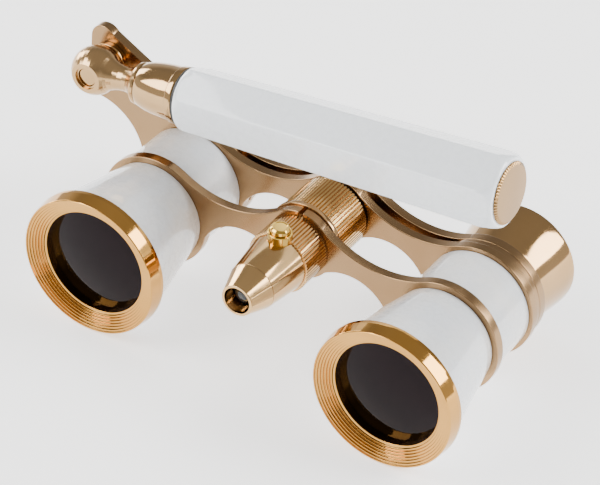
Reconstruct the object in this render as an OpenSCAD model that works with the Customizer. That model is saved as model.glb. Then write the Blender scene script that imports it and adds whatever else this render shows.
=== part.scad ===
// Opera glasses with a folding, sliding handle and a small torch.
// Built along the optical axis Y: objectives face -Y, eyecups face +Y, Z is up.
// The origin is on the table, under the middle of the whole object.

/* [Barrels] */
// half the distance between the two barrel axes
half_space = 32; // [28:0.5:34]
// outer radius of the objective bezels
bezel_r = 14.75; // [13:0.05:16]
// clear radius of the objective opening
aperture_r = 10.8; // [9:0.1:11.2]
// radius of the objective cone behind the bezel
cone_r = 14.15; // [13:0.05:14.6]
// radius of the objective cone at the front bridge
cone_end_r = 10.5; // [10.2:0.05:11.2]
// outer radius of the rear sleeves
sleeve_r = 10.9; // [10.2:0.05:11.4]
// radius of the eyecups at their rear edge
eyecup_r = 11.3; // [10.5:0.1:13]
// overall length, bezel front to eyecup rear
body_len = 53.3; // [50:0.1:58]

/* [Bridges] */
// outer radius of the bridge rings round the barrels
ring_r = 11.7; // [11:0.05:12.5]
// outer radius of the eyepiece bridge rings
rear_ring_r = 11.3; // [11:0.05:12]
// radius of the central hubs
hub_r = 7.35; // [7.2:0.05:9]
// height of the central axis above the barrel axes
hub_z = 6.8; // [5:0.1:9]
// front face of the front bridge
plate1_y = 22.4; // [21:0.1:24]
// front face of the middle bridge
plate2_y = 35.8; // [34:0.1:37]
// front face of the eyepiece bridge
plate3_y = 39.4; // [39:0.1:41]
// thickness of the bridge plates
plate_t = 2; // [1.6:0.1:2.2]

/* [Focus] */
// outer radius of the focus wheel
wheel_r = 7.4; // [6.5:0.05:8]
// number of flutes on the focus wheel
wheel_teeth = 68; // [30:1:90]

/* [Torch] */
// radius of the fluted torch barrel
torch_r = 6.45; // [6.4:0.05:7]
// number of flutes on the torch barrel
torch_teeth = 62; // [30:1:90]
// radius of the torch mouth rim
torch_tip_r = 3.25; // [3:0.05:3.6]
// front edge of the torch mouth
torch_tip_y = 1.1; // [1:0.1:3]
// radius of the push button
button_r = 1.95; // [1.6:0.05:2]
// place of the push button along the optical axis
button_y = 15.2; // [15:0.1:15.8]

/* [Handle] */
// pivot position, across
pin_x = -52.1; // [-54:0.1:-50]
// pivot position, above the barrel axes
pin_z = 19.7; // [18:0.1:22]
// pivot ball centre, along the optical axis
pin_y = 30.8; // [30:0.1:31]
// rise of the stowed handle
hang = 7.06; // [4:0.02:10]
// radius of the pivot ball
ball_r = 4.9; // [4.5:0.05:5.2]
// corner radius of the hexagonal sleeve at the ferrule
hex_r = 6.8; // [6.7:0.05:7.4]
// corner radius of the hexagonal sleeve at the cap
hex_end_r = 7.95; // [7.4:0.05:8.2]
// roll of the hexagon about the handle
hex_roll = 25; // [0:0.1:60]
// distance from pivot to the end of the stowed handle
handle_len = 91; // [80:0.5:110]

/* [Hidden] */
$fn = 96;
x_lo = pin_x - ball_r;
x_hi = half_space + bezel_r;
org = [-(x_lo + x_hi) / 2, -body_len / 2, bezel_r];
gold = [0.80, 0.66, 0.47];
deep_gold = [0.82, 0.60, 0.33];
white = [0.86, 0.87, 0.88];
tube_r = 9.4;
bore_r = 9.45;
slide_r = 8.65;
slide_bore = 8.7;
p1b = plate1_y + plate_t;
p2b = plate2_y + plate_t;
p3b = plate3_y + 2.1;
sleeve_s = 21.25;
up_r = 20;
bite = 0.04;
dn_r = 9.5;
dn_x = 11.6;
dn_z = -5.05;

// ---- helpers ----
module place() translate(org) children();
// solid of revolution about an axis along Y, profile points are [radius, y]
module rev(cx, cz, pts)
  translate([cx, 0, cz]) rotate([-90, 0, 0]) rotate_extrude() polygon(pts);
module cyl(r, y0, y1, cx = 0, cz = 0)
  translate([cx, y0, cz]) rotate([-90, 0, 0]) cylinder(r = r, h = y1 - y0);
module flat(y0, y1)
  translate([0, y1, 0]) rotate([90, 0, 0]) linear_extrude(y1 - y0) children();
// tube about an axis along Y
module pipe(ro, ri, y0, y1, cx = 0, cz = 0) difference() {
  cyl(ro, y0, y1, cx, cz);
  cyl(ri, y0 - 1, y1 + 1, cx, cz);
}
// frame of the stowed handle: X along the handle, Y as the optical axis
module on_handle()
  translate([pin_x, pin_y, pin_z]) rotate([0, -hang, 0]) children();
// solid of revolution about the handle, profile points are [radius, distance]
module hrev(pts) rotate([0, 90, 0]) rotate_extrude() polygon(pts);
module hpipe(ro, ri, s0, s1)
  hrev([[ri, s0], [ro, s0], [ro, s1], [ri, s1]]);
function arc(cx, cy, r, a0, a1, n) =
  [for (i = [0:n]) let(a = a0 + (a1 - a0) * i / n) [cx + r * cos(a), cy + r * sin(a)]];
// flutes: n ridges of depth d on radius r
function flute(r, d, n) = [for (i = [0:n - 1]) for (k = [0:3])
  let(a = (i + [0, 0.42, 0.58, 0.84][k]) * 360 / n, q = [r, r, r - d, r - d][k])
  [q * cos(a), q * sin(a)]];
// centre of a circle of radius r touching two circles from outside, upper solution
function touch(c1, r1, c2, r2, r) =
  let(v = c2 - c1, d = norm(v), a = ((r1 + r) * (r1 + r) - (r2 + r) * (r2 + r) + d * d) / (2 * d),
      h = sqrt((r1 + r) * (r1 + r) - a * a), u = v / d)
  c1 + a * u + h * [-u[1], u[0]];
// wire coil along Z: mean radius R, wire radius w, n turns, height h
function coil_pts(R, w, n, h, m) = [for (i = [0:n * m]) for (k = [0:5])
  let(a = 360 * i / m, b = 60 * k)
  [(R + w * cos(b)) * cos(a), (R + w * cos(b)) * sin(a), w + (h - 2 * w) * i / (n * m) + w * sin(b)]];
module coil(R, w, n, h, m = 18) {
  c = n * m;
  polyhedron(points = coil_pts(R, w, n, h, m), faces = concat(
    [for (i = [0:c - 1]) for (k = [0:5])
      [i * 6 + k, i * 6 + (k + 1) % 6, (i + 1) * 6 + (k + 1) % 6]],
    [for (i = [0:c - 1]) for (k = [0:5])
      [i * 6 + k, (i + 1) * 6 + (k + 1) % 6, (i + 1) * 6 + k]],
    [[5, 4, 3, 2, 1, 0], [for (k = [0:5]) c * 6 + k]]));
}

// ---- objectives ----
module bezel(cx) rev(cx, 0, [
  [aperture_r, 2.05], [12.15, 1.4], [12.15, 1.12], [12.6, 1.12], [12.6, 0.84],
  [13.05, 0.84], [13.05, 0.56], [13.5, 0.56], [13.5, 0.28], [13.95, 0.28], [13.95, 0],
  [bezel_r - 0.5, 0], [bezel_r - 0.38, 0.15], [bezel_r, 2.6], [bezel_r, 3.5],
  [12.3, 3.5], [12.3, 8.5], [11.55, 8.5], [11.55, 3.65], [aperture_r, 3.65]]);
module objective_lens(cx) rev(cx, 0, concat(
  [[0, 2.5]],
  [for (i = [1:6]) let(r = 10.75 * i / 6) [r, 2.5 + 1.2 * (i / 6) * (i / 6)]],
  [[11.5, 3.7]],
  [for (i = [0:5]) let(r = 11.5 * (6 - i) / 6) [r, 7.0 - 0.4 * (r / 11.5) * (r / 11.5)]],
  [[0, 7.0]]));
module objective_ring(cx) pipe(11.5, 10.6, 6.7, 8.3, cx);
module objective_cone(cx) rev(cx, 0, [
  [12.35, 3.55], [cone_r, 3.55], [cone_end_r, plate1_y - 0.05], [bore_r, plate1_y - 0.05],
  [bore_r, 18.5], [12.35, 8.6]]);
module bezel_left() color(deep_gold) place() bezel(-half_space);
module bezel_right() color(deep_gold) place() bezel(half_space);
module objective_lens_left() color([0.25, 0.2, 0.3]) place() objective_lens(-half_space);
module objective_lens_right() color([0.25, 0.2, 0.3]) place() objective_lens(half_space);
module objective_ring_left() color([0.1, 0.1, 0.1]) place() objective_ring(-half_space);
module objective_ring_right() color([0.1, 0.1, 0.1]) place() objective_ring(half_space);
module objective_cone_left() color(white) place() objective_cone(-half_space);
module objective_cone_right() color(white) place() objective_cone(half_space);

// ---- barrels ----
module inner_tube_left() color(gold) place() pipe(tube_r, slide_bore, 18.6, 39.3, -half_space);
module inner_tube_right() color(gold) place() pipe(tube_r, slide_bore, 18.6, 39.3, half_space);
module rear_sleeve_left() color(white)
  place() pipe(sleeve_r, bore_r, p1b + 0.05, plate2_y - 0.05, -half_space);
module rear_sleeve_right() color(white)
  place() pipe(sleeve_r, bore_r, p1b + 0.05, plate2_y - 0.05, half_space);

// ---- bridges ----
// arm between the hub and one ring, s is the side
module arm(y0, y1, s, rr, hr) {
  hub = [0, hub_z];
  ring = [half_space, 0];
  cu = touch(hub, hr, ring, rr, up_r);
  t1 = hub + (cu - hub) * hr / norm(cu - hub);
  t2 = ring + (cu - ring) * rr / norm(cu - ring);
  cd = [dn_x, dn_z];
  t3 = ring + (cd - ring) * rr / norm(cd - ring);
  mirror([s < 0 ? 1 : 0, 0, 0]) difference() {
    flat(y0, y1) polygon([hub, t1, t2, ring, t3, [12, 2], [6.2, 3.2]]);
    cyl(up_r + bite, y0 - 1, y1 + 1, cu[0], cu[1]);
    cyl(dn_r, y0 - 1, y1 + 1, cd[0], cd[1]);
  }
}
module bridge(y0, y1, rr = ring_r, hr = hub_r) {
  cyl(rr, y0, y1, -half_space);
  cyl(rr, y0, y1, half_space);
  cyl(hr, y0, y1, 0, hub_z);
  arm(y0, y1, -1, rr, hr);
  arm(y0, y1, 1, rr, hr);
}
module front_bridge() color(gold) place() difference() {
  bridge(plate1_y, p1b);
  cyl(bore_r, plate1_y - 1, p1b + 1, -half_space);
  cyl(bore_r, plate1_y - 1, p1b + 1, half_space);
  cyl(6.2, plate1_y - 1, p1b + 1, 0, hub_z);
  translate([-0.45, plate1_y - 1, hub_z + 4]) cube([0.9, plate_t + 2, hub_r]);
}
// lug for the handle pivot, part of the middle bridge
module lug() difference() {
  union() {
    flat(plate2_y, p2b) polygon([[-36.5, 9.2], [-37.6, 12.6], [-40.3, 18.6], [-43.4, 21.1],
      [-52.73, 25.72], [-56.9, 23.4], [-56.9, 12], [-55.4, 10.05], [-55.35, -1], [-36, -1]]);
    cyl(2.9, plate2_y, p2b, -54, 23.4);
    cyl(1.95, plate2_y, p2b, -54.95, 12);
  }
  cyl(11.75, plate2_y - 1, p2b + 1, -55.35, -1.7);
}
module middle_bridge() color(gold) place() difference() {
  union() {
    bridge(plate2_y, p2b);
    lug();
    cyl(rear_ring_r, p2b, plate3_y - 0.1, -half_space);
    cyl(rear_ring_r, p2b, plate3_y - 0.1, half_space);
    cyl(6.8, p2b, plate3_y - 0.1, 0, hub_z);
  }
  cyl(bore_r, plate2_y - 1, plate3_y + 1, -half_space);
  cyl(bore_r, plate2_y - 1, plate3_y + 1, half_space);
  cyl(2, plate2_y - 1, plate3_y + 1, 0, hub_z);
  cyl(1.35, plate2_y - 1, plate3_y + 1, pin_x, pin_z);
}
module eyepiece_bridge() color(gold) place() difference() {
  bridge(plate3_y, p3b, rear_ring_r, 7.75);
  cyl(slide_bore, plate3_y - 1, p3b + 1, -half_space);
  cyl(slide_bore, plate3_y - 1, p3b + 1, half_space);
  cyl(2, plate3_y - 1, p3b + 1, 0, hub_z);
}

// ---- focusing ----
module spindle_bush() color(gold) place() union() {
  cyl(7.7, p1b + 0.05, p1b + 1.05, 0, hub_z);
  cyl(2.5, p1b + 1, p1b + 3.5, 0, hub_z);
}
module focus_wheel() color(gold) place() difference() {
  translate([0, 0, hub_z]) flat(25.65, 35.3) polygon(flute(wheel_r, 0.3, wheel_teeth));
  cyl(2.56, 25, 28.2, 0, hub_z);
  cyl(2, 25, 36, 0, hub_z);
}
module focus_screw() color(gold) place() cyl(1.95, 28.4, 43.4, 0, hub_z);
module screw_nut() color(gold) place() difference() {
  cyl(3.6, p3b + 0.05, 43.7, 0, hub_z);
  cyl(2, p3b - 1, 44, 0, hub_z);
  translate([-4, 43, hub_z - 0.4]) cube([8, 1, 0.8]);
}

// ---- eyepieces ----
module eyepiece_tube(cx) pipe(slide_r, 8, 27, 49, cx);
module eyepiece_lens(cx) rev(cx, 0, concat(
  [for (i = [0:5]) let(r = 7.95 * i / 5) [r, 46.9 - 0.8 * (r / 7.95) * (r / 7.95)]],
  [for (i = [0:5]) let(r = 7.95 * (5 - i) / 5) [r, 48.1 + 0.85 * (r / 7.95) * (r / 7.95)]]));
module eyepiece_ring(cx) pipe(7.95, 7, 44.8, 46.05, cx);
module eyecup(cx) rev(cx, 0, [
  [8.7, p3b + 0.05], [10.2, p3b + 0.05], [10.3, 43], [10.5, 45.4], [10.85, 48.3], [11.15, 50.6],
  [eyecup_r, body_len - 0.8], [eyecup_r, body_len - 0.2], [eyecup_r - 0.2, body_len],
  [eyecup_r - 0.8, body_len], [7.4, 50.3], [7.2, 49.9], [7.2, 49.05], [8.7, 49.05]]);
module eyepiece_tube_left() color(gold) place() eyepiece_tube(-half_space);
module eyepiece_tube_right() color(gold) place() eyepiece_tube(half_space);
module eyepiece_lens_left() color([0.3, 0.3, 0.35]) place() eyepiece_lens(-half_space);
module eyepiece_lens_right() color([0.3, 0.3, 0.35]) place() eyepiece_lens(half_space);
module eyepiece_ring_left() color([0.1, 0.1, 0.1]) place() eyepiece_ring(-half_space);
module eyepiece_ring_right() color([0.1, 0.1, 0.1]) place() eyepiece_ring(half_space);
module eyecup_left() color(gold) place() eyecup(-half_space);
module eyecup_right() color(gold) place() eyecup(half_space);

// ---- torch ----
module torch_cap() color(gold) place() rev(0, hub_z, [
  [2.7, torch_tip_y], [torch_tip_r - 0.1, torch_tip_y], [torch_tip_r, torch_tip_y + 0.12],
  [4.85, 6.2], [4.2, 6.2], [4.2, 8.05], [2.7, 8.05]]);
module torch_barrel() color(gold) place() difference() {
  union() {
    rev(0, hub_z, [[0, 6.25], [4.87, 6.25], [6, 15.35], [0, 15.35]]);
    translate([0, 0, hub_z]) flat(15.3, plate1_y - 0.1) polygon(flute(torch_r, 0.27, torch_teeth));
    cyl(6.15, plate1_y - 0.2, p1b, 0, hub_z);
  }
  cyl(4.25, 5, 23.5, 0, hub_z);
  translate([0, button_y, hub_z]) cylinder(r = 2, h = 9);
  translate([0, button_y, hub_z + 4.95]) cylinder(r = 2.43, h = 9);
}
module torch_lamp() color([0.8, 0.85, 0.9]) place() rev(0, hub_z, concat(
  [[0, 9]], [[2.9, 9], [2.9, 8.1], [2.45, 8.1]], arc(0, 4.95, 2.45, 0, -90, 8)));
module lamp_holder() color([0.1, 0.1, 0.1]) place() pipe(4.2, 0.6, 9.05, 10.6, 0, hub_z);
module contact_spring() color([0.7, 0.7, 0.7]) place()
  translate([0, 10.65, hub_z]) rotate([-90, 0, 0]) coil(2.4, 0.25, 3, 1.85);
module torch_cells() color([0.7, 0.7, 0.72]) place() for (i = [0:2])
  rev(0, hub_z, [[0, 12.6 + 3.6 * i], [3.2, 12.6 + 3.6 * i], [3.25, 12.85 + 3.6 * i],
    [3.95, 12.9 + 3.6 * i], [3.95, 16.15 + 3.6 * i], [0, 16.15 + 3.6 * i]]);
module torch_switch() color([0.1, 0.1, 0.1]) place()
  translate([0, button_y, hub_z + 4.3]) cylinder(r = 1.95, h = 0.6);
module button_spring() color([0.7, 0.7, 0.7]) place()
  translate([0, button_y, hub_z + 4.95]) coil(1.3, 0.12, 3, 1.1);
module torch_button() color([0.85, 0.7, 0.3]) place()
  translate([0, button_y, hub_z + 6.1]) union() {
    cylinder(r = button_r, h = 2.2);
    translate([0, 0, 2.2]) cylinder(r1 = button_r, r2 = button_r - 0.3, h = 0.3);
  }
module button_collar() color([0.85, 0.7, 0.3]) place()
  translate([0, button_y, hub_z + 5]) difference() {
    cylinder(r = 2.4, h = 2.4);
    translate([0, 0, -1]) cylinder(r = 2.02, h = 4);
  }

// ---- handle ----
module pivot_pin() color(gold) place() translate([pin_x, 0, pin_z]) union() {
  cyl(1.85, pin_y - 3.1, pin_y - 2.25);
  cyl(1.3, pin_y - 2.3, p2b + 1.3);
}
module pivot_washer() color(gold) place()
  pipe(3.75, 1.4, pin_y + 3.7, plate2_y - 0.05, pin_x, pin_z);
module pivot_nut() color(gold) place() difference() {
  cyl(2.6, p2b + 0.05, p2b + 1.5, pin_x, pin_z);
  cyl(1.35, p2b - 1, p2b + 2, pin_x, pin_z);
}
module handle_knuckle() color(gold) place() on_handle() difference() {
  hrev(concat([[0, -ball_r]], arc(0, 0, ball_r, -90, 46, 16),
    [[3.05, 4.1], [2.7, 5.1], [2.5, 6.2], [2.45, 7.3], [2.6, 8.3], [2.95, 9], [3.6, 9.6],
     [4.1, 10.1], [4.2, 10.5], [4.1, 10.95], [3.35, 11], [3.35, 15], [0, 15]]));
  cyl(1.35, -9, 9);
  cyl(1.93, -9, -2.2);
  cyl(2.35, -9, -3.35);
  translate([-9, 3.65, -9]) cube([18, 9, 18]);
  translate([-9, -12.75, -9]) cube([18, 9, 18]);
}
module handle_ferrule() color(gold) place() on_handle() hrev([
  [3.4, 11.2], [4.25, 11.2], [4.4, 11.4], [4.62, 12.3], [4.9, 13.4], [5.18, 15.4], [5.35, 17.6],
  [5.4, 19.1], [5.6, 19.25], [5.65, 20.3], [5.4, 20.6], [4.05, 20.6], [4.05, 12.2], [3.4, 12.2]]);
module handle_tube() color(gold) place() on_handle() hpipe(4, 3.4, 12.25, 87.3);
module guide_bush() color([0.9, 0.9, 0.88]) place() on_handle() hpipe(4.93, 4.03, 81, 86.8);
module mouth_bush() color([0.1, 0.1, 0.1]) place() on_handle() hrev([
  [4.05, 20.75], [5.75, 20.75], [5.75, sleeve_s - 0.05], [4.97, sleeve_s - 0.05], [4.97, 24.9],
  [4.05, 24.9]]);
// corner k of the hexagon at distance d, turned about the handle
function hex_corner(k, d) = let(a = 60 * k - hex_roll,
  r = hex_r + (hex_end_r - hex_r) * (d - sleeve_s) / (handle_len - sleeve_s))
  [d, r * cos(a), r * sin(a)];
module handle_sleeve() color(white) place() on_handle() intersection() {
  difference() {
    polyhedron(points = [for (d = [sleeve_s, handle_len - 0.65]) for (k = [0:5]) hex_corner(k, d)],
      faces = [[0, 1, 2, 3, 4, 5], for (k = [0:5]) [k, k + 6, (k + 1) % 6 + 6, (k + 1) % 6],
        [11, 10, 9, 8, 7, 6]]);
    rotate([0, 90, 0]) cylinder(r = 5, h = handle_len + 1);
  }
  hrev([[0, sleeve_s - 0.1], [5.8, sleeve_s], [6.3, sleeve_s + 0.5], [6.9, sleeve_s + 1.9],
    [8.1, sleeve_s + 2], [8.1, handle_len - 4], [7.55, handle_len - 2.2], [6.95, handle_len - 1.1],
    [6.5, handle_len - 0.65], [0, handle_len]]);
}
module handle_cap() color(gold) place() on_handle() union() {
  translate([handle_len - 0.6, 0, 0]) rotate([0, 90, 0])
    linear_extrude(0.6) polygon(flute(6, 0.2, 60));
  rotate([0, 90, 0]) translate([0, 0, 87.9]) cylinder(r = 4.95, h = handle_len - 88.4);
}

bezel_left();
bezel_right();
objective_lens_left();
objective_lens_right();
objective_ring_left();
objective_ring_right();
objective_cone_left();
objective_cone_right();
inner_tube_left();
inner_tube_right();
rear_sleeve_left();
rear_sleeve_right();
front_bridge();
middle_bridge();
spindle_bush();
focus_wheel();
focus_screw();
eyepiece_bridge();
screw_nut();
eyepiece_tube_left();
eyepiece_tube_right();
eyepiece_lens_left();
eyepiece_lens_right();
eyepiece_ring_left();
eyepiece_ring_right();
eyecup_left();
eyecup_right();
torch_cap();
torch_barrel();
torch_lamp();
lamp_holder();
torch_switch();
button_spring();
torch_button();
button_collar();
contact_spring();
torch_cells();
pivot_pin();
pivot_washer();
pivot_nut();
handle_knuckle();
handle_ferrule();
handle_tube();
guide_bush();
handle_sleeve();
mouth_bush();
handle_cap();
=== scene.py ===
import math

import bpy
from mathutils import Matrix, Vector
from mathutils.geometry import delaunay_2d_cdt, tessellate_polygon


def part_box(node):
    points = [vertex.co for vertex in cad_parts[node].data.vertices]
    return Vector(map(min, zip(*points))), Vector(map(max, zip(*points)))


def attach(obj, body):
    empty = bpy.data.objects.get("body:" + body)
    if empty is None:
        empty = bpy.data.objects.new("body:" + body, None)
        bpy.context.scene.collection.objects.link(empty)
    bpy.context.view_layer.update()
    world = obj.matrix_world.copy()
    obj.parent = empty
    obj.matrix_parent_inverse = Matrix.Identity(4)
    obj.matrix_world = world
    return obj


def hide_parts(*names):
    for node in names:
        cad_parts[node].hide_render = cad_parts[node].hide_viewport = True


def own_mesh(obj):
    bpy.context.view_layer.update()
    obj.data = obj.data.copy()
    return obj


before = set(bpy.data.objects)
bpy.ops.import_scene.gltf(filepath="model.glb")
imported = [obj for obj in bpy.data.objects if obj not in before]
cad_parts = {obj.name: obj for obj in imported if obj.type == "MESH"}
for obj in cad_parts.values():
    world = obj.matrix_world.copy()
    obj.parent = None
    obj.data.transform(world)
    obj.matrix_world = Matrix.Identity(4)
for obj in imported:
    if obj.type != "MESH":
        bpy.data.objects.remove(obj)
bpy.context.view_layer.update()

# ---- places and sizes, in millimetres from the middle of the bezel fronts ----
MM = 0.001
ORG = Vector((5.125, -26.65, 14.75))
HALF_SPACE = 32.0
HUB_Z = 6.8
HUB_R, REAR_HUB_R = 7.35, 7.75
RING_R, REAR_RING_R = 11.7, 11.3
PLATE1, PLATE2, PLATE3 = (22.4, 24.4), (35.8, 37.8), (39.4, 41.5)
UPPER_R = 20.0
LOWER_R, LOWER_X, LOWER_Z = 9.5, 11.6, -5.05
TUBE_BORE, SLIDE_BORE = 9.45, 8.7
PIN_X, PIN_Y, PIN_Z = -52.1, 30.8, 19.7
HANG = math.radians(7.06)
SLEEVE_START, SLEEVE_END, HANDLE_LEN = 21.25, 90.35, 91.0
HEX_R0, HEX_R1, HEX_ROLL = 6.8, 7.95, math.radians(25)
BUTTON_Y = 15.2
WHEEL_FLUTES, TORCH_FLUTES, CAP_FLUTES = 68, 62, 60
LEFT, RIGHT = (-HALF_SPACE, 0.0), (HALF_SPACE, 0.0)
HUB = (0.0, HUB_Z)

PLAIN = Matrix.Scale(MM, 4) @ Matrix.Translation(ORG)


def along_y(cx, cz):
    """Matrix from (across, up, along) of a turned part to the frame, axis along the barrels."""
    return PLAIN @ Matrix.Translation((cx, 0, cz)) @ Matrix(
        ((1, 0, 0, 0), (0, 0, 1, 0), (0, 1, 0, 0), (0, 0, 0, 1)))


ON_HANDLE = PLAIN @ Matrix.Translation((PIN_X, PIN_Y, PIN_Z)) @ Matrix.Rotation(-HANG, 4, "Y")
ALONG_HANDLE = ON_HANDLE @ Matrix(((0, 0, 1, 0), (1, 0, 0, 0), (0, 1, 0, 0), (0, 0, 0, 1)))


def along_z(x, y, z):
    """Matrix for a part turned about a vertical axis."""
    return PLAIN @ Matrix.Translation((x, y, z))


# ---- camera: a long lens about 0.6 m from the glasses ----
AZ, EL, ROLL = math.radians(28.73), math.radians(37.432), math.radians(5.098)
FOCAL, SENSOR = 191.94, 36.0
VIEW_SCALE = HALF_SPACE / 31.0  # the view was worked out with the barrels 31 mm from the middle
CAM_OFFSET = Vector((-12.245, -16.072, -568.545))
back = Vector((math.sin(AZ) * math.cos(EL), -math.cos(AZ) * math.cos(EL), math.sin(EL)))
right = Vector((math.cos(AZ), math.sin(AZ), 0))
up = back.cross(right)
across = math.cos(ROLL) * right + math.sin(ROLL) * up
upward = -math.sin(ROLL) * right + math.cos(ROLL) * up
rot = Matrix((across, upward, back)).transposed()
cam_data = bpy.data.cameras.new("camera")
cam_data.sensor_width = SENSOR
cam_data.lens = FOCAL
cam_data.clip_start = 0.01
cam = bpy.data.objects.new("camera", cam_data)
bpy.context.scene.collection.objects.link(cam)
cam.matrix_world = Matrix.Translation((ORG - (rot @ CAM_OFFSET) * VIEW_SCALE) * MM) @ rot.to_4x4()
bpy.context.scene.camera = cam


# ---- materials ----
def new_material(name):
    m = bpy.data.materials.new(name)
    m.use_nodes = True
    return m, m.node_tree, m.node_tree.nodes["Principled BSDF"]


def noise(tree, scale, detail=3.0, stretch=(1, 1, 1), rough=0.55):
    co = tree.nodes.new("ShaderNodeTexCoord")
    mp = tree.nodes.new("ShaderNodeMapping")
    mp.inputs["Scale"].default_value = stretch
    tex = tree.nodes.new("ShaderNodeTexNoise")
    tex.inputs["Scale"].default_value = scale
    tex.inputs["Detail"].default_value = detail
    tex.inputs["Roughness"].default_value = rough
    tree.links.new(co.outputs["Object"], mp.inputs["Vector"])
    tree.links.new(mp.outputs["Vector"], tex.inputs["Vector"])
    return tex.outputs["Fac"]


def spread(tree, value, low, high, a=0.3, b=0.7):
    """The noise value mapped from a..b to low..high."""
    n = tree.nodes.new("ShaderNodeMapRange")
    n.inputs["From Min"].default_value, n.inputs["From Max"].default_value = a, b
    n.inputs["To Min"].default_value, n.inputs["To Max"].default_value = low, high
    tree.links.new(value, n.inputs["Value"])
    return n.outputs["Result"]


def two_colours(tree, value, dark, light):
    n = tree.nodes.new("ShaderNodeMix")
    n.data_type = "RGBA"
    n.inputs["A"].default_value = (*dark, 1)
    n.inputs["B"].default_value = (*light, 1)
    tree.links.new(value, n.inputs["Factor"])
    return n.outputs["Result"]


def bumped(tree, shader, value, strength, distance):
    n = tree.nodes.new("ShaderNodeBump")
    n.inputs["Strength"].default_value = strength
    n.inputs["Distance"].default_value = distance
    tree.links.new(value, n.inputs["Height"])
    tree.links.new(n.outputs["Normal"], shader.inputs["Normal"])


def metal(name, dark, light, rough=(0.10, 0.2), grain=(1, 1, 1), scale=900, bump=0.06,
          patch=60):
    """Plated metal: soft patches of tone, fine polishing marks in the roughness and the bump."""
    m, tree, shader = new_material(name)
    patches = spread(tree, noise(tree, patch, 4.0), 0, 1)
    tree.links.new(two_colours(tree, patches, dark, light), shader.inputs["Base Color"])
    marks = noise(tree, scale, 5.0, grain, 0.7)
    tree.links.new(spread(tree, marks, rough[0], rough[1]), shader.inputs["Roughness"])
    bumped(tree, shader, marks, bump, 0.00002)
    shader.inputs["Metallic"].default_value = 1.0
    return m


def enamel(name, dark, light, patch, coat=1.0):
    """Gloss enamel: milky depth with slight tone changes, a thin clear coat and a faint ripple."""
    m, tree, shader = new_material(name)
    patches = spread(tree, noise(tree, patch, 3.0), 0, 1, 0.35, 0.65)
    tree.links.new(two_colours(tree, patches, dark, light), shader.inputs["Base Color"])
    tree.links.new(spread(tree, noise(tree, 700, 3.0), 0.22, 0.34), shader.inputs["Roughness"])
    bumped(tree, shader, noise(tree, 320, 2.0), 0.05, 0.00003)
    shader.inputs["Coat Weight"].default_value = coat
    shader.inputs["Coat Roughness"].default_value = 0.035
    shader.inputs["Coat IOR"].default_value = 1.5
    shader.inputs["Specular IOR Level"].default_value = 0.4
    return m


def plastic(name, dark, light, rough):
    m, tree, shader = new_material(name)
    patches = spread(tree, noise(tree, 400, 4.0), 0, 1)
    tree.links.new(two_colours(tree, patches, dark, light), shader.inputs["Base Color"])
    tree.links.new(spread(tree, noise(tree, 1500, 4.0), *rough), shader.inputs["Roughness"])
    bumped(tree, shader, noise(tree, 2500, 3.0), 0.12, 0.00002)
    return m


def glass(name, dark, light, ior=1.52, tint=(1, 1, 1), rough=(0.01, 0.03)):
    m, tree, shader = new_material(name)
    patches = spread(tree, noise(tree, 90, 2.0), 0, 1)
    tree.links.new(two_colours(tree, patches, dark, light), shader.inputs["Base Color"])
    tree.links.new(spread(tree, noise(tree, 500, 4.0), *rough), shader.inputs["Roughness"])
    shader.inputs["Transmission Weight"].default_value = 1.0
    shader.inputs["IOR"].default_value = ior
    shader.inputs["Specular Tint"].default_value = (*tint, 1)
    return m


CHAMPAGNE = metal("champagne_gold", (0.44, 0.27, 0.12), (0.50, 0.315, 0.15), (0.07, 0.12),
                  bump=0.02)
SATIN = metal("champagne_satin", (0.30, 0.182, 0.088), (0.35, 0.218, 0.11), (0.20, 0.225),
              (1, 1, 1), 500, 0.015)
TURNED = metal("champagne_turned", (0.44, 0.265, 0.115), (0.51, 0.315, 0.15), (0.06, 0.12),
               (1, 14, 1), 260, 0.04)
WARM = metal("warm_gold", (0.50, 0.25, 0.055), (0.57, 0.30, 0.08), (0.06, 0.11), (1, 9, 1),
             300, 0.03)
# Painted light: this gold is much lighter than the other plating, so that the focus wheel, which
# mirrors dark surroundings, looks lit.
KNURLED_PAINTED_LIGHT = metal("knurled_gold_painted_light", (0.68, 0.43, 0.175), (0.76, 0.50, 0.22), (0.14, 0.17), bump=0.01)
TORCH = metal("torch_gold", (0.55, 0.335, 0.14), (0.63, 0.40, 0.18), (0.09, 0.15), bump=0.02)
BALL = metal("ball_gold", (0.46, 0.285, 0.13), (0.52, 0.33, 0.16), (0.15, 0.20), bump=0.01)
END_GOLD = metal("end_cap_gold", (0.30, 0.175, 0.07), (0.36, 0.215, 0.09), (0.12, 0.18), bump=0.02)
BRASS = metal("yellow_brass", (0.66, 0.41, 0.085), (0.74, 0.48, 0.12), (0.07, 0.13), bump=0.02)
STEEL = metal("spring_steel", (0.55, 0.55, 0.56), (0.68, 0.68, 0.70), (0.16, 0.3))
BARREL_WHITE = enamel("white_enamel", (0.66, 0.685, 0.715), (0.73, 0.72, 0.70), 110)
HANDLE_WHITE = enamel("handle_enamel", (0.86, 0.905, 0.94), (0.88, 0.915, 0.95), 40)
# Painted shade: the objective glass is tinted nearly black, standing in for the dark inside of the
# barrel; the purple specular tint is the coating's own.
COATED_PAINTED_SHADE = glass("coated_glass", (0.010, 0.007, 0.009), (0.018, 0.013, 0.016), 1.24,
               (0.85, 0.62, 0.68))
EYE_GLASS = glass("eye_glass", (0.55, 0.55, 0.60), (0.65, 0.63, 0.70), 1.52, (0.8, 0.8, 1.0))
# Painted shade: the clear lamp dome is tinted dark bluish grey so that the torch mouth looks dark.
LAMP_PAINTED_SHADE = glass("clear_lamp", (0.30, 0.32, 0.38), (0.42, 0.44, 0.50), 1.5, (1, 1, 1), (0.02, 0.09))
BLACK = plastic("black_paint", (0.010, 0.009, 0.009), (0.022, 0.020, 0.019), (0.45, 0.65))
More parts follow.
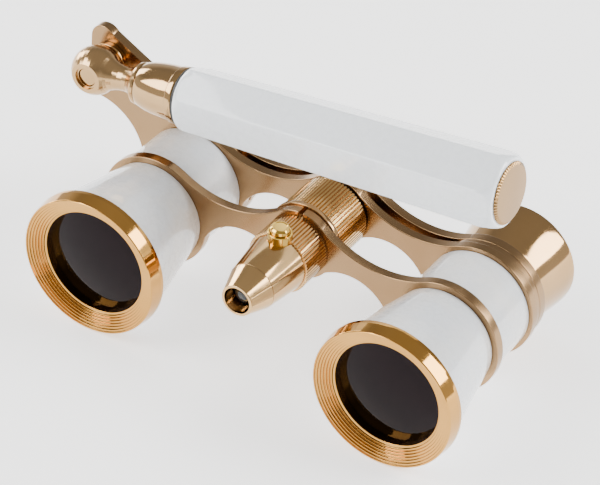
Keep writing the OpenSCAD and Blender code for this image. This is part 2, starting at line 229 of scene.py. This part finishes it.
# Black plastic of the lamp holder and switch; on the mouth bush this black is painted shade in the
# gap at the sleeve mouth.
DARK_PLASTIC_AND_SHADE = plastic("black_plastic", (0.018, 0.018, 0.018), (0.035, 0.034, 0.033), (0.4, 0.6))
PALE_PLASTIC = plastic("white_plastic", (0.74, 0.74, 0.72), (0.82, 0.82, 0.80), (0.3, 0.45))


# ---- mesh helpers ----
def finish_mesh(name, parts, material, body, nodes, sharp=34):
    """One object from (points, faces, matrix) parts; it rides on a body, in place of CAD nodes."""
    points, faces = [], []
    for pts, fcs, matrix in parts:
        n = len(points)
        points += [matrix @ Vector(p) for p in pts]
        faces += [[i + n for i in f] for f in fcs]
    mesh = bpy.data.meshes.new(name)
    mesh.from_pydata(points, [], faces)
    mesh.validate()
    mesh.polygons.foreach_set("use_smooth", [True] * len(mesh.polygons))
    mesh.set_sharp_from_angle(angle=math.radians(sharp))
    mesh.materials.append(material)
    obj = bpy.data.objects.new(name, mesh)
    bpy.context.scene.collection.objects.link(obj)
    normals = obj.modifiers.new("weighted_normals", "WEIGHTED_NORMAL")
    normals.keep_sharp = True
    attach(obj, body)
    if nodes:
        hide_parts(*nodes)
    return obj


def round_corners(profile, closed, steps=4):
    """Rounds a profile of (r, t), (r, t, fillet) or (r, t, fillet, fluted) points."""
    out = []
    n = len(profile)
    for i, p in enumerate(profile):
        here = Vector(p[:2])
        fillet = p[2] if len(p) > 2 else 0
        fluted = p[3] if len(p) > 3 else 0
        if not fillet or (not closed and i in (0, n - 1)):
            out.append((here.x, here.y, fluted))
            continue
        before = Vector(profile[i - 1][:2]) - here
        after = Vector(profile[(i + 1) % n][:2]) - here
        angle = before.angle(after)
        cut = min(fillet / math.tan(angle / 2), before.length * 0.49, after.length * 0.49)
        a = here + before.normalized() * cut
        b = here + after.normalized() * cut
        for k in range(steps + 1):
            t = k / steps
            q = a * (1 - t) ** 2 + here * 2 * t * (1 - t) + b * t ** 2
            out.append((q.x, q.y, fluted))
    return out


def groove(phase):
    """Depth share of a flute at a phase from 0 to 1: round ridges with a narrow valley."""
    return max(0.0, math.cos(2 * math.pi * phase)) ** 0.9


def lathe(profile, matrix, segments=160, closed=True, flutes=0, depth=0.0, per_flute=8):
    """A turned part. A profile that is not closed starts and ends on the axis."""
    ring = round_corners(profile, closed)
    if flutes:
        segments = flutes * per_flute
    points, faces, rows = [], [], []
    for r, t, fluted in ring:
        if r < 1e-6:
            rows.append([len(points)] * segments)
            points.append((0, 0, t))
            continue
        rows.append(list(range(len(points), len(points) + segments)))
        for k in range(segments):
            a = 2 * math.pi * k / segments
            rr = r - depth * fluted * groove((k / per_flute) % 1) if flutes else r
            points.append((rr * math.cos(a), rr * math.sin(a), t))
    count = len(rows)
    for i in range(count if closed else count - 1):
        low, high = rows[i], rows[(i + 1) % count]
        for k in range(segments):
            j = (k + 1) % segments
            face = [low[k], low[j], high[j], high[k]]
            faces.append([v for n, v in enumerate(face) if v != face[n - 1]])
    area = sum(ring[i][0] * ring[(i + 1) % count][1] - ring[(i + 1) % count][0] * ring[i][1]
               for i in range(count))
    if (area < 0) != (matrix.determinant() < 0):
        faces = [f[::-1] for f in faces]
    return points, faces, matrix


def circle(centre, r, start=0.0, end=2 * math.pi, step=3.0):
    """Points on an arc, one every step degrees, the last one left out on a full circle."""
    n = max(2, round(abs(end - start) / math.radians(step)))
    whole = abs(abs(end - start) - 2 * math.pi) < 1e-9
    return [(centre[0] + r * math.cos(start + (end - start) * k / n),
             centre[1] + r * math.sin(start + (end - start) * k / n))
            for k in range(n if whole else n + 1)]


def inside(p, polygon):
    hit = False
    for (ax, ay), (bx, by) in zip(polygon, polygon[1:] + polygon[:1]):
        if (ay > p[1]) != (by > p[1]) and p[0] < (bx - ax) * (p[1] - ay) / (by - ay) + ax:
            hit = not hit
    return hit


def merged(adds, cuts):
    """Outline loops of the adds joined, less the cuts. The solid lies left of each loop."""
    points, edges = [], []
    for loop in adds + cuts:
        n = len(points)
        points += [Vector(p) for p in loop]
        edges += [(n + i, n + (i + 1) % len(loop)) for i in range(len(loop))]
    verts, _, tris, _, _, _ = delaunay_2d_cdt(points, edges, [], 0, 1e-4)
    follow = {}
    for tri in tris:
        middle = sum((verts[i] for i in tri), Vector((0, 0))) / len(tri)
        if any(inside(middle, a) for a in adds) and not any(inside(middle, c) for c in cuts):
            for a, b in zip(tri, list(tri[1:]) + [tri[0]]):
                follow[(a, b)] = True
    border = {a: b for a, b in follow if (b, a) not in follow}
    loops = []
    while border:
        start, here = next(iter(border.items()))
        loop = [start]
        del border[start]
        while here != start:
            loop.append(here)
            here = border.pop(here)
        loops.append([tuple(verts[i]) for i in loop])
    return [tidy_loop(loop) for loop in loops]


def tidy_loop(loop, least=0.05):
    """Drops points that nearly touch the one before them."""
    out = []
    for p in loop:
        if not out or math.dist(p, out[-1]) > least:
            out.append(p)
    return out if math.dist(out[0], out[-1]) > least else out[:-1]


def inset(loop, distance):
    """The loop moved into the solid, which is on its left."""
    out = []
    n = len(loop)
    for i, p in enumerate(loop):
        a = (Vector(p) - Vector(loop[i - 1])).normalized()
        b = (Vector(loop[(i + 1) % n]) - Vector(p)).normalized()
        na, nb = Vector((-a.y, a.x)), Vector((-b.y, b.x))
        m = na + nb
        scale = 1 / max(0.35, 0.5 * m.length_squared)
        out.append(tuple(Vector(p) + m * distance * scale))
    return out


def plate(loops, y0, y1, bevel=0.16, steps=3):
    """A flat plate between y0 and y1, edges rounded, outline and holes given as (x, z) loops."""
    stations = [(y0 + bevel * (1 - math.sin(math.pi / 2 * k / steps)),
                 bevel * (1 - math.cos(math.pi / 2 * k / steps))) for k in range(steps, -1, -1)]
    stations += [(y0 + y1 - y, d) for y, d in stations[::-1]]
    points, faces = [], []
    firsts, lasts = [], []
    for loop in loops:
        n = len(loop)
        rows = []
        for y, d in stations:
            rows.append(list(range(len(points), len(points) + n)))
            points += [(x, y, z) for x, z in inset(loop, d)]
        for low, high in zip(rows, rows[1:]):
            faces += [[low[k], low[(k + 1) % n], high[(k + 1) % n], high[k]] for k in range(n)]
        firsts.append(rows[0])
        lasts.append(rows[-1])
    for rows, turn in ((firsts, False), (lasts, True)):
        flat = [i for row in rows for i in row]
        tris = tessellate_polygon([[Vector((points[i][0], points[i][2], 0)) for i in row]
                                   for row in rows])
        for tri in tris:
            a, b, c = (flat[i] for i in tri)
            p, q, r = (Vector((points[i][0], points[i][2])) for i in (a, b, c))
            positive = (q - p).cross(r - p) > 0
            faces.append([a, b, c] if positive != turn else [a, c, b])
    return points, faces, PLAIN


# ---- outlines of the bridges ----
def touch(c1, r1, c2, r2, r):
    """Centre of a circle of radius r that touches two others, on the left going from one to two."""
    v = Vector(c2) - Vector(c1)
    d = v.length
    a = ((r1 + r) ** 2 - (r2 + r) ** 2 + d * d) / (2 * d)
    h = math.sqrt((r1 + r) ** 2 - a * a)
    u = v / d
    return Vector(c1) + a * u + h * Vector((-u.y, u.x))


def bridge_loops(ring_r, hub_r):
    """The shapes to join for one bridge: rings, hub and an arm on each side."""
    hub, ring = Vector(HUB), Vector(RIGHT)
    top = touch(hub, hub_r, ring, ring_r, UPPER_R)
    t1 = hub + (top - hub).normalized() * hub_r
    t2 = ring + (top - ring).normalized() * ring_r
    low = Vector((LOWER_X, LOWER_Z))
    t3 = ring + (low - ring).normalized() * ring_r
    a1 = math.atan2(*(t1 - top).yx)
    a2 = math.atan2(*(t2 - top).yx)
    b1 = math.atan2(*(t3 - low).yx)
    t4 = hub + (low - hub).normalized() * (hub_r - 0.6)
    b2 = math.atan2(*(t4 - low).yx)
    # start the arcs a little inside the rings, so that the joined outline has no slivers
    arm = [tuple(hub)] + circle(top, UPPER_R + 0.01, a1, a2, 1.5) + [tuple(ring)]
    arm += circle(low, LOWER_R, b1, b2, 3.0)
    mirror = [(-x, z) for x, z in arm[::-1]]
    return [circle(LEFT, ring_r), circle(RIGHT, ring_r), circle(HUB, hub_r), arm, mirror]


def slot_cut(width, z0, z1):
    return [(-width / 2, z0), (width / 2, z0), (width / 2, z1), (-width / 2, z1)]


front = merged(bridge_loops(RING_R, HUB_R),
               [circle(LEFT, TUBE_BORE), circle(RIGHT, TUBE_BORE), circle(HUB, 6.2),
                slot_cut(0.9, HUB_Z + 4, HUB_Z + 9)])
finish_mesh("front_bridge_plate", [plate(front, *PLATE1)], SATIN, "optics",
            ["front_bridge"])

LUG_TOP, LUG_SIDE, LUG_CUT = (-54.0, 23.4), (-54.95, 12.0), (-55.35, -1.7)
lug = [(-36.5, 9.2), (-37.6, 12.6), (-40.3, 18.6), (-43.4, 21.1), (-52.73, 25.72),
       (-56.9, 23.4), (-56.9, 12), (-55.4, 10.05), (-55.35, -1), (-36, -1)]
middle = merged(bridge_loops(RING_R, HUB_R) + [lug, circle(LUG_TOP, 2.9, step=6),
                                               circle(LUG_SIDE, 1.95, step=8)],
                [circle(LEFT, TUBE_BORE), circle(RIGHT, TUBE_BORE), circle(HUB, 2.0, step=8),
                 circle((PIN_X, PIN_Z), 1.35, step=12), circle(LUG_CUT, 11.75)])
boss = [(TUBE_BORE, 37.5), (REAR_RING_R, 37.5), (REAR_RING_R, 39.3, 0.12), (TUBE_BORE, 39.3, 0.12)]
finish_mesh("middle_bridge_plate", [
    plate(middle, *PLATE2),
    lathe(boss, along_y(*LEFT)), lathe(boss, along_y(*RIGHT)),
    lathe([(2.0, 37.5), (6.8, 37.5), (6.8, 39.3, 0.15), (2.0, 39.3)], along_y(*HUB))],
    SATIN, "optics", ["middle_bridge"])

rear = merged(bridge_loops(REAR_RING_R, REAR_HUB_R),
              [circle(LEFT, SLIDE_BORE), circle(RIGHT, SLIDE_BORE), circle(HUB, 2.0, step=8)])
finish_mesh("eyepiece_bridge_plate", [plate(rear, *PLATE3)], SATIN, "eyepieces",
            ["eyepiece_bridge"])

# ---- barrels, one set on each side ----
BEZEL = [
    (10.8, 1.98, 0.1), (11.2, 1.9, 0.05), (11.28, 1.58, 0.06), (11.66, 1.64, 0.05),
    (11.74, 1.3, 0.06), (12.12, 1.36, 0.05), (12.2, 1.02, 0.06), (12.6, 1.08, 0.05),
    (12.68, 0.76, 0.06), (13.05, 0.8, 0.05), (13.13, 0.5, 0.06), (13.5, 0.52, 0.05),
    (13.58, 0.22, 0.06), (13.95, 0.24, 0.05), (14.02, 0, 0.06), (14.28, 0, 0.14),
    (14.4, 0.2, 0.12), (14.75, 2.6, 0.35), (14.75, 3.5, 0.14), (12.3, 3.5), (12.3, 8.5),
    (11.55, 8.5), (11.55, 3.65), (10.8, 3.65)]
CONE = [(12.35, 3.55), (14.13, 3.55, 0.1), (10.5, 22.35, 0.1), (9.45, 22.35), (9.45, 18.5),
        (12.35, 8.6)]
LENS = [(0, 2.5)] + [(10.75 * i / 12, 2.5 + 1.2 * (i / 12) ** 2) for i in range(1, 13)]
LENS += [(11.5, 3.7)] + [(11.5 * i / 8, 7.0 - 0.4 * (i / 8) ** 2) for i in range(8, 0, -1)]
LENS += [(0, 7.0)]
SLEEVE = [(9.45, 24.45), (10.9, 24.45, 0.12), (10.9, 35.75, 0.12), (9.45, 35.75)]
EYECUP = [(8.7, 41.55), (10.2, 41.55, 0.12), (10.3, 43.0), (10.5, 45.4), (10.85, 48.3),
          (11.15, 50.6), (11.3, 52.4), (11.3, 53.25, 0.3), (10.55, 53.3, 0.3), (7.4, 50.3, 0.2),
          (7.2, 49.9), (7.2, 49.05), (8.7, 49.05)]
EYE_LENS = [(0, 46.9)] + [(7.95 * i / 8, 46.9 - 0.8 * (i / 8) ** 2) for i in range(1, 9)]
EYE_LENS += [(7.95 * i / 8, 48.1 + 0.85 * (i / 8) ** 2) for i in range(8, 0, -1)] + [(0, 48.1)]
for side, place in (("left", LEFT), ("right", RIGHT)):
    at = along_y(*place)
    finish_mesh("bezel_turned_" + side, [lathe(BEZEL, at, 192)], WARM, "optics",
                ["bezel_" + side])
    finish_mesh("cone_enamel_" + side, [lathe(CONE, at, 192)], BARREL_WHITE, "optics",
                ["objective_cone_" + side])
    finish_mesh("sleeve_enamel_" + side, [lathe(SLEEVE, at, 192)], BARREL_WHITE, "optics",
                ["rear_sleeve_" + side])
    finish_mesh("objective_glass_" + side, [lathe(LENS, at, 128, closed=False)], COATED_PAINTED_SHADE,
                "optics", ["objective_lens_" + side])
    finish_mesh("eyecup_turned_" + side, [lathe(EYECUP, at, 192)], TURNED, "eyepieces",
                ["eyecup_" + side])
    finish_mesh("eye_glass_" + side, [lathe(EYE_LENS, at, 96, closed=False)], EYE_GLASS,
                "eyepieces", ["eyepiece_lens_" + side])

# ---- focusing: bush, wheel, nut ----
at = along_y(*HUB)
finish_mesh("spindle_bush_turned", [
    lathe([(0, 24.45), (7.7, 24.45, 0.12), (7.7, 25.45, 0.12), (2.5, 25.45), (2.5, 27.9),
           (0, 27.9)], at, closed=False)], TURNED, "optics", ["spindle_bush"])
finish_mesh("focus_wheel_fluted", [
    lathe([(2.56, 25.65), (6.6, 25.65), (7.4, 25.68, 0.06, 1), (7.4, 34.95, 0.08, 1),
           (7.1, 35.25, 0.05, 1), (6.6, 35.3), (2.0, 35.3), (2.0, 28.2), (2.56, 28.2)],
          at, flutes=WHEEL_FLUTES, depth=0.3)],
    KNURLED_PAINTED_LIGHT, "wheel", ["focus_wheel"], 60)
finish_mesh("screw_nut_turned", [
    plate(merged([circle(HUB, 3.6, step=5)], [circle(HUB, 2.0, step=8)]), 41.55, 43.0, 0.02),
    plate(merged([circle(HUB, 3.6, step=5)],
                 [[(-4, HUB_Z - 0.4), (4, HUB_Z - 0.4), (4, HUB_Z + 0.4), (-4, HUB_Z + 0.4)],
                  circle(HUB, 2.0, step=8)]), 42.95, 43.7, 0.1)],
    TURNED, "eyepieces", ["screw_nut"])

# ---- torch ----
finish_mesh("torch_cap_turned", [
    lathe([(2.7, 1.1, 0.08), (3.22, 1.1, 0.1), (3.32, 1.42, 0.1), (4.85, 6.15, 0.05), (4.2, 6.2),
           (4.2, 8.05), (2.7, 8.05)], at)], TORCH, "optics", ["torch_cap"])
finish_mesh("torch_barrel_turned", [
    lathe([(4.25, 6.25), (4.87, 6.25, 0.05), (6.0, 15.3), (6.0, 15.5), (4.25, 15.5)], at),
    lathe([(4.25, 15.3), (6.0, 15.3), (6.45, 15.33, 0.06, 1), (6.45, 22.1, 0.08, 1),
           (6.25, 22.28, 0.05, 1), (6.15, 22.3), (6.15, 24.4, 0.1), (4.25, 24.4)],
          at, flutes=TORCH_FLUTES, depth=0.27)],
    TORCH, "optics", ["torch_barrel"], 60)
dome = [(2.45 * math.sin(a), 4.95 - 2.45 * math.cos(a))
        for a in (math.pi / 2 * k / 12 for k in range(1, 13))]
finish_mesh("torch_lamp_clear", [
    lathe([(0, 2.5)] + dome + [(2.45, 8.1), (2.9, 8.1, 0.05), (2.9, 9.0, 0.05), (0, 9.0)], at, 64,
          closed=False)], LAMP_PAINTED_SHADE, "optics", ["torch_lamp"])
at = along_z(0, BUTTON_Y, HUB_Z)
finish_mesh("torch_button_turned", [
    lathe([(0, 6.1), (1.95, 6.1), (1.95, 8.2, 0.1), (1.62, 8.58, 0.12), (1.35, 8.6, 0.1),
           (1.2, 8.5, 0.1), (0, 8.5)], at, 64, closed=False)], BRASS, "button",
    ["torch_button"])
finish_mesh("button_collar_turned", [
    lathe([(2.02, 5.0), (2.4, 5.0), (2.4, 7.4, 0.3), (2.02, 7.4, 0.06)], at, 64)],
    BRASS, "optics", ["button_collar"])

# ---- handle: pivot, ferrule, bush, sleeve, cap ----
at = along_y(PIN_X, PIN_Z)
finish_mesh("pivot_pin_turned", [
    lathe([(0, 27.72), (1.85, 27.72, 0.14), (1.85, 28.55), (1.3, 28.55), (1.3, 39.1, 0.12),
           (0, 39.1)], at, 64, closed=False)], CHAMPAGNE, "optics",
    ["pivot_pin"])
finish_mesh("pivot_washer_turned", [
    lathe([(1.4, 34.5), (3.75, 34.5, 0.2), (3.75, 35.75, 0.1), (1.4, 35.75)], at, 96)],
    TURNED, "optics", ["pivot_washer"])
finish_mesh("pivot_nut_turned", [
    lathe([(1.35, 37.85), (2.6, 37.85), (2.6, 39.3, 0.2), (1.35, 39.3, 0.08)], at, 64)],
    TURNED, "optics", ["pivot_nut"])
finish_mesh("handle_ferrule_turned", [
    lathe([(3.4, 11.2), (4.25, 11.2, 0.08), (4.4, 11.4), (4.62, 12.3), (4.9, 13.4), (5.18, 15.4),
           (5.35, 17.6), (5.4, 19.1, 0.1), (5.6, 19.25, 0.08), (5.65, 20.3, 0.15),
           (5.4, 20.6, 0.1), (4.05, 20.6), (4.05, 12.2), (3.4, 12.2)], ALONG_HANDLE, 128)],
    CHAMPAGNE, "handle", ["handle_ferrule"])
# Painted shade: the mouth bush is black so that the narrow gap between ferrule and sleeve reads
# dark.
finish_mesh("mouth_bush_painted_shade", [
    lathe([(4.05, 20.75), (5.75, 20.75, 0.08), (5.75, 21.2), (4.97, 21.2), (4.97, 24.9),
           (4.05, 24.9)], ALONG_HANDLE, 96)], DARK_PLASTIC_AND_SHADE, "grip", ["mouth_bush"])


def hexagon(k_steps, corner):
    """Directions and unit radii of a hexagon with rounded corners, corner as a share of size."""
    out = []
    for k in range(6):
        mid = math.radians(60 * k)
        centre = 1 - corner / math.cos(math.radians(30))
        for i in range(k_steps + 1):
            a = mid + math.radians(30) * (2 * i / k_steps - 1)
            x = centre * math.cos(mid) + corner * math.cos(a)
            z = centre * math.sin(mid) + corner * math.sin(a)
            out.append((math.atan2(z, x), math.hypot(x, z)))
        side_a = Vector((math.cos(mid), math.sin(mid)))
        nxt = math.radians(60 * (k + 1))
        side_b = Vector((math.cos(nxt), math.sin(nxt)))
        for i in range(1, 8):
            q = side_a.lerp(side_b, 0.1 + 0.8 * i / 8)
            out.append((math.atan2(q.y, q.x), q.length))
    return out


def soft_min(a, b, width):
    """The smaller of two numbers, with the change between them rounded over width."""
    h = max(width - abs(a - b), 0) / width
    return min(a, b) - h * h * width / 4


def limit(d):
    """Largest radius at a distance along the sleeve: both ends are rounded off."""
    pts = [(21.2, 5.75), (21.25, 5.8), (21.45, 6.05), (21.75, 6.3), (22.4, 6.63), (23.1, 6.9),
           (23.8, 7.6), (26, 9.0), (85.0, 9.0), (87.0, 8.1), (88.0, 7.82), (88.8, 7.55),
           (89.4, 7.25), (89.9, 6.95), (90.2, 6.7), (90.36, 6.45)]
    for (d0, r0), (d1, r1) in zip(pts, pts[1:]):
        if d <= d1:
            return r0 + (r1 - r0) * (d - d0) / (d1 - d0)
    return pts[-1][1]


def sleeve_mesh():
    shape = hexagon(6, 0.07)
    n = len(shape)
    stations = [21.25, 21.3, 21.4, 21.55, 21.75, 22.0, 22.3, 22.6, 23.0, 23.4, 23.9, 24.5, 25.6]
    stations += [30 + 5 * k for k in range(11)]
    stations += [83.5, 85, 86, 86.8, 87.4, 87.9, 88.3, 88.7, 89.1, 89.4, 89.7, 89.95, 90.15, 90.3,
                 90.35]
    points, rows = [], []
    for d in stations:
        size = HEX_R0 + (HEX_R1 - HEX_R0) * (d - SLEEVE_START) / (HANDLE_LEN - SLEEVE_START)
        rows.append(list(range(len(points), len(points) + n)))
        for a, r in shape:
            rr = soft_min(size * r, limit(d), 0.35)
            points.append((rr * math.cos(a - HEX_ROLL), rr * math.sin(a - HEX_ROLL), d))
    for d in (SLEEVE_END, SLEEVE_START):
        rows.append(list(range(len(points), len(points) + n)))
        for a, _ in shape:
            points.append((5 * math.cos(a - HEX_ROLL), 5 * math.sin(a - HEX_ROLL), d))
    faces = []
    for i, low in enumerate(rows):
        high = rows[(i + 1) % len(rows)]
        faces += [[low[k], low[(k + 1) % n], high[(k + 1) % n], high[k]] for k in range(n)]
    return points, faces, ALONG_HANDLE


finish_mesh("handle_sleeve_enamel", [sleeve_mesh()], HANDLE_WHITE, "grip",
            ["handle_sleeve"], 50)
finish_mesh("handle_cap_milled", [
    lathe([(0, 87.9), (4.95, 87.9), (4.95, 90.4), (5.9, 90.4, 0, 0.6), (6.0, 90.48, 0.04, 1),
           (6.0, 90.66, 0.06, 1), (5.5, 90.98, 0.05, 0.4), (5.25, 91.0), (0, 91.0)],
          ALONG_HANDLE, closed=False, flutes=CAP_FLUTES, depth=0.22)],
    END_GOLD, "grip", ["handle_cap"], 60)

# ---- the spring under the button, wound to the size of the CAD spring ----
def coil_mesh(low, high, wire, turns, steps=40, around=12):
    """A round wire wound upwards inside the box low..high, in metres."""
    centre = (low + high) / 2
    radius = (high.x - low.x) / 2 - wire
    rise = high.z - low.z - 2 * wire
    points, faces = [], []
    count = turns * steps + 1
    for i in range(count):
        angle = 2 * math.pi * i / steps
        out = Vector((math.cos(angle), math.sin(angle), 0))
        middle = Vector((centre.x, centre.y, low.z + wire + rise * i / (count - 1))) + out * radius
        for k in range(around):
            turn = 2 * math.pi * k / around
            points.append(middle + (out * math.cos(turn) + Vector((0, 0, math.sin(turn)))) * wire)
    for i in range(count - 1):
        for k in range(around):
            n = (k + 1) % around
            a, b = i * around, (i + 1) * around
            faces.append([a + k, a + n, b + n, b + k])
    faces += [list(range(around))[::-1], [(count - 1) * around + k for k in range(around)]]
    return points, faces, Matrix.Identity(4)


SPRING_LOW, SPRING_HIGH = (Vector(c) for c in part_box("button_spring"))
SPRING_WIRE, SPRING_TURNS, SPRING_KEEP = 0.12 * MM, 3, 0.3
spring = finish_mesh("button_spring_wound", [
    coil_mesh(SPRING_LOW, SPRING_HIGH, SPRING_WIRE, SPRING_TURNS)], STEEL, "optics",
    ["button_spring"])
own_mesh(spring)

# ---- CAD parts that stay as they are ----
KEPT = {
    "inner_tube_left": BLACK, "inner_tube_right": BLACK, "eyepiece_tube_left": TURNED,
    "eyepiece_tube_right": TURNED, "objective_ring_left": BLACK, "objective_ring_right": BLACK,
    "eyepiece_ring_left": BLACK, "eyepiece_ring_right": BLACK, "focus_screw": TURNED,
    "lamp_holder": DARK_PLASTIC_AND_SHADE, "torch_switch": DARK_PLASTIC_AND_SHADE,
    "contact_spring": STEEL, "torch_cells": STEEL, "handle_knuckle": BALL,
    "handle_tube": TURNED, "guide_bush": PALE_PLASTIC}
for name, material in KEPT.items():
    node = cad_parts[name]
    node.data.materials.clear()
    node.data.materials.append(material)

# ---- floor and light ----
WORLD_STRENGTH, FLOOR_GLOW, FLOOR_SIZE = 1.5, 1.25, 6
world = bpy.data.worlds.new("studio")
bpy.context.scene.world = world
world.use_nodes = True
tree = world.node_tree
coords = tree.nodes.new("ShaderNodeTexCoord")
split = tree.nodes.new("ShaderNodeSeparateXYZ")
ramp = tree.nodes.new("ShaderNodeValToRGB")
ramp.color_ramp.elements[0].position, ramp.color_ramp.elements[0].color = 0.0, (0.62, 0.61, 0.60, 1)
ramp.color_ramp.elements[1].position, ramp.color_ramp.elements[1].color = 0.9, (0.34, 0.33, 0.31, 1)
for place, tone in ((0.25, 0.55), (0.5, 0.26)):
    ramp.color_ramp.elements.new(place).color = (tone, tone * 0.99, tone * 0.97, 1)
tree.links.new(coords.outputs["Generated"], split.inputs[0])
tree.links.new(split.outputs["Z"], ramp.inputs["Fac"])
tree.links.new(ramp.outputs["Color"], tree.nodes["Background"].inputs["Color"])
tree.nodes["Background"].inputs["Strength"].default_value = WORLD_STRENGTH


def softbox(name, place, size, power, target=(0, 0, 0.02)):
    data = bpy.data.lights.new(name, "AREA")
    data.shape = "RECTANGLE"
    data.size, data.size_y = size
    data.energy = power
    obj = bpy.data.objects.new(name, data)
    bpy.context.scene.collection.objects.link(obj)
    obj.location = place
    obj.rotation_euler = (Vector(target) - Vector(place)).to_track_quat("-Z", "Y").to_euler()


softbox("right_box", (0.66, 0.36, 0.50), (0.55, 0.50), 12.0)
softbox("front_box", (-0.56, -0.52, 0.58), (0.62, 0.52), 10.0)
softbox("left_box", (-0.78, 0.20, 0.26), (0.30, 0.45), 5.0)

bpy.ops.mesh.primitive_grid_add(size=FLOOR_SIZE, x_subdivisions=8, y_subdivisions=8)
floor = bpy.context.object
floor.name = "floor"
floor_material, tree, shader = new_material("floor_paper")
tree.links.new(two_colours(tree, spread(tree, noise(tree, 30, 3.0), 0, 1),
                           (0.90, 0.90, 0.90), (0.93, 0.93, 0.93)), shader.inputs["Base Color"])
shader.inputs["Roughness"].default_value = 0.9
shader.inputs["Emission Color"].default_value = (1, 1, 1, 1)
shader.inputs["Emission Strength"].default_value = FLOOR_GLOW
floor.data.materials.append(floor_material)
